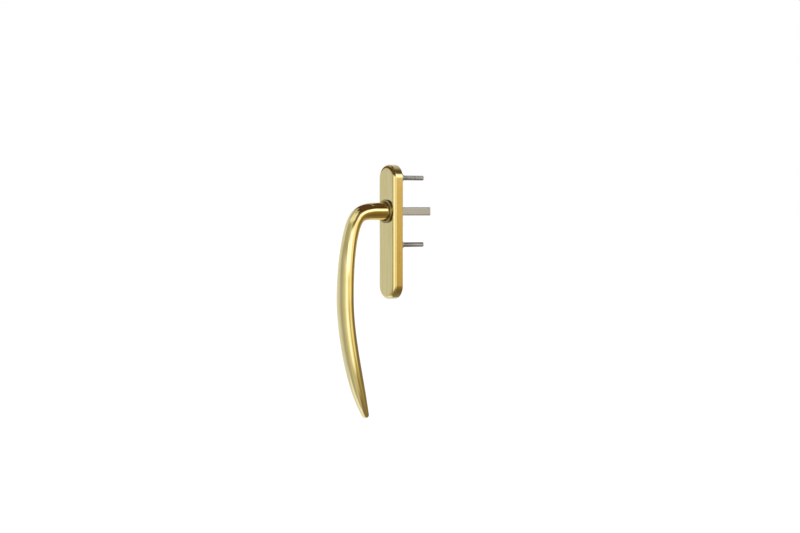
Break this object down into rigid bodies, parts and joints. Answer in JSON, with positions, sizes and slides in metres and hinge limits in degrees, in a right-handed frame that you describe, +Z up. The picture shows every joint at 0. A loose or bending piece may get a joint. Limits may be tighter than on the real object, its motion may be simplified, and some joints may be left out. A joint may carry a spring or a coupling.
{
  "type": "sash lever handle",
  "caption": "Bow-shaped brass lever on an oblong plate, turning half a turn to work a window or sliding door sash through a square spindle.",
  "frame": {"origin": "where the spindle's axis meets the face of the sash that the plate sits on", "axes": "+Z up the plate, +Y into the sash along the spindle, +X to the right seen from the room"},
  "size_m": [0.032, 0.1313, 0.3006],
  "materials": {
    "polished_brass": "polished and lacquered",
    "die_cast_zinc": "die-cast zinc alloy, tumbled",
    "plated_steel": "zinc plated",
    "spring_steel": "tempered, blued",
    "sintered_steel": "sintered, oiled",
    "black_nylon": "moulded",
    "natural_acetal": "moulded"
  },
  "bodies": {
    "plate": {"cover_plate": "polished_brass", "collar_ring": "polished_brass", "base_plate": "die_cast_zinc", "bearing_bush": "natural_acetal", "collar_bush": "black_nylon", "stop_pin": "plated_steel", "retainer_plate": "plated_steel", "retainer_screw_top": "plated_steel", "retainer_screw_bottom": "plated_steel", "fixing_screw_top": "plated_steel", "fixing_screw_bottom": "plated_steel", "cover_clip_top": "spring_steel", "cover_clip_bottom": "spring_steel", "detent_spring_left": "spring_steel", "detent_spring_right": "spring_steel"},
    "turning_lever": {"lever": "polished_brass", "square_spindle": "plated_steel", "spindle_pin": "plated_steel", "stop_disc": "plated_steel", "detent_cam": "sintered_steel", "retaining_ring": "spring_steel"}
  },
  "joints": [
    {"name": "lever_turn", "type": "hinge", "parent": "plate", "child": "turning_lever", "pos_m": [0, 0, 0], "axis": [0, 1, 0], "range_deg": [0, 180], "deforming": ["detent_spring_left", "detent_spring_right"]}
  ]
}
